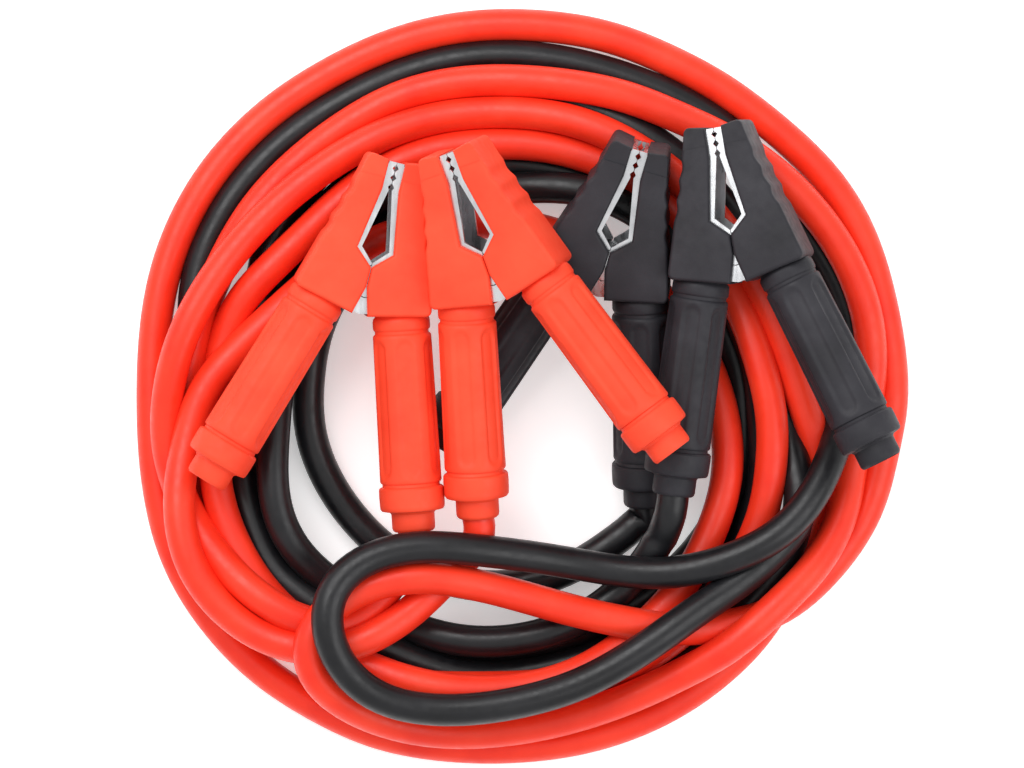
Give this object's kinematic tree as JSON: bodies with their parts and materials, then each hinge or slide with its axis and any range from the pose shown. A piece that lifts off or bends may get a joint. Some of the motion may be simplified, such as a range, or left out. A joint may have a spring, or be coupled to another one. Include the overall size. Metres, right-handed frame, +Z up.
{
  "type": "car jumper cable",
  "caption": "Coiled pair of thick booster cables, red and black, with a spring clamp on each end: ribbed rubber handles and toothed metal jaws.",
  "frame": {"origin": "on the floor, under the middle of the box round the four clamps", "axes": "+X to the right as one looks down on the coil with the clamps' tips away from one, +Y away, +Z up"},
  "size_m": [0.3282, 0.33, 0.0826],
  "materials": {
    "red_cover": "matte satin, orange red",
    "black_cover": "matte satin, near black",
    "red_cable": "smooth satin, strong red",
    "black_cable": "smooth satin, near black",
    "plated_steel": "bright zinc or chrome plating"
  },
  "bodies": {
    "set": {"red_clamp_a_cable_cover": "red_cover", "red_clamp_a_cable_jaw": "plated_steel", "red_clamp_a_hinge_pin": "plated_steel", "red_clamp_a_spring": "plated_steel", "red_clamp_b_cable_cover": "red_cover", "red_clamp_b_cable_jaw": "plated_steel", "red_clamp_b_hinge_pin": "plated_steel", "red_clamp_b_spring": "plated_steel", "black_clamp_a_cable_cover": "black_cover", "black_clamp_a_cable_jaw": "plated_steel", "black_clamp_a_hinge_pin": "plated_steel", "black_clamp_a_spring": "plated_steel", "black_clamp_b_cable_cover": "black_cover", "black_clamp_b_cable_jaw": "plated_steel", "black_clamp_b_hinge_pin": "plated_steel", "black_clamp_b_spring": "plated_steel", "red_coil_outer": "red_cable", "red_coil_inner": "red_cable", "black_coil_outer": "black_cable", "black_coil_inner": "black_cable", "red_clamp_a_tail": "red_cable", "red_clamp_b_tail": "red_cable", "black_clamp_a_tail": "black_cable", "black_clamp_b_tail": "black_cable", "red_bight": "red_cable", "black_bight": "black_cable"},
    "red_clamp_a_free_half": {"red_clamp_a_free_cover": "red_cover", "red_clamp_a_free_jaw": "plated_steel"},
    "red_clamp_b_free_half": {"red_clamp_b_free_cover": "red_cover", "red_clamp_b_free_jaw": "plated_steel"},
    "black_clamp_a_free_half": {"black_clamp_a_free_cover": "black_cover", "black_clamp_a_free_jaw": "plated_steel"},
    "black_clamp_b_free_half": {"black_clamp_b_free_cover": "black_cover", "black_clamp_b_free_jaw": "plated_steel"}
  },
  "joints": [
    {"name": "red_clamp_a_squeeze", "type": "hinge", "parent": "set", "child": "red_clamp_a_free_half", "pos_m": [-0.07721, 0.01558, 0.0453], "axis": [0.093, -0.059, 0.9939], "range_deg": [0, 27], "stiffness_Nm_per_rad": 2, "springref_deg": -22.92, "deforming": ["red_clamp_a_spring"]},
    {"name": "red_clamp_b_squeeze", "type": "hinge", "parent": "set", "child": "red_clamp_b_free_half", "pos_m": [-0.01921, 0.02166, 0.0602], "axis": [0.2677, 0.168, -0.9487], "range_deg": [0, 27], "stiffness_Nm_per_rad": 2, "springref_deg": -22.92, "deforming": ["red_clamp_b_spring"]},
    {"name": "black_clamp_a_squeeze", "type": "hinge", "parent": "set", "child": "black_clamp_a_free_half", "pos_m": [0.02649, 0.02466, 0.03454], "axis": [-0.0687, -0.232, 0.9703], "range_deg": [0, 27], "stiffness_Nm_per_rad": 2, "springref_deg": -22.92, "deforming": ["black_clamp_a_spring"]},
    {"name": "black_clamp_b_squeeze", "type": "hinge", "parent": "set", "child": "black_clamp_b_free_half", "pos_m": [0.08429, 0.02916, 0.0513], "axis": [0.2372, 0.0483, -0.9703], "range_deg": [0, 27], "stiffness_Nm_per_rad": 2, "springref_deg": -22.92, "deforming": ["black_clamp_b_spring"]}
  ]
}
